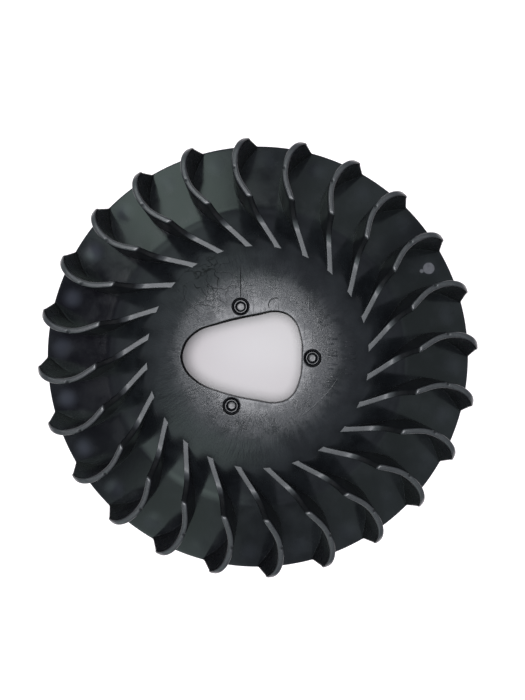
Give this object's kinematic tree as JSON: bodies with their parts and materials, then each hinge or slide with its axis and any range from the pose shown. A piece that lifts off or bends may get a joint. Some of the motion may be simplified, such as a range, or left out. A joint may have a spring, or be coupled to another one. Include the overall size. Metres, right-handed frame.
{
  "type": "engine flywheel cooling fan",
  "caption": "Black moulded radial fan with a dished disc, curved stepped blades and locating pegs; bolts behind a starter cup to blow cooling air over a small engine.",
  "frame": {"origin": "on the fan's axis, in the plane of the rim's lower edge", "axes": "+Z along the axis, away from the engine, on the bladed side; +X towards locating_peg_1, 0.4 mm beside its centre"},
  "size_m": [0.21, 0.21, 0.034],
  "materials": {
    "disc_plastic": "moulded, semi-gloss, rubbed on the hub",
    "blade_plastic": "moulded, satin",
    "peg_plastic": "moulded, slightly polished"
  },
  "bodies": {
    "root": {"fan_disc": "disc_plastic", "locating_peg_1": "peg_plastic", "locating_peg_2": "peg_plastic", "locating_peg_3": "peg_plastic", "blade_01": "blade_plastic", "blade_02": "blade_plastic", "blade_03": "blade_plastic", "blade_04": "blade_plastic", "blade_05": "blade_plastic", "blade_06": "blade_plastic", "blade_07": "blade_plastic", "blade_08": "blade_plastic", "blade_09": "blade_plastic", "blade_10": "blade_plastic", "blade_11": "blade_plastic", "blade_12": "blade_plastic", "blade_13": "blade_plastic", "blade_14": "blade_plastic", "blade_15": "blade_plastic", "blade_16": "blade_plastic", "blade_17": "blade_plastic", "blade_18": "blade_plastic", "blade_19": "blade_plastic", "blade_20": "blade_plastic", "blade_21": "blade_plastic", "blade_22": "blade_plastic", "blade_23": "blade_plastic", "blade_24": "blade_plastic"}
  },
  "joints": []
}
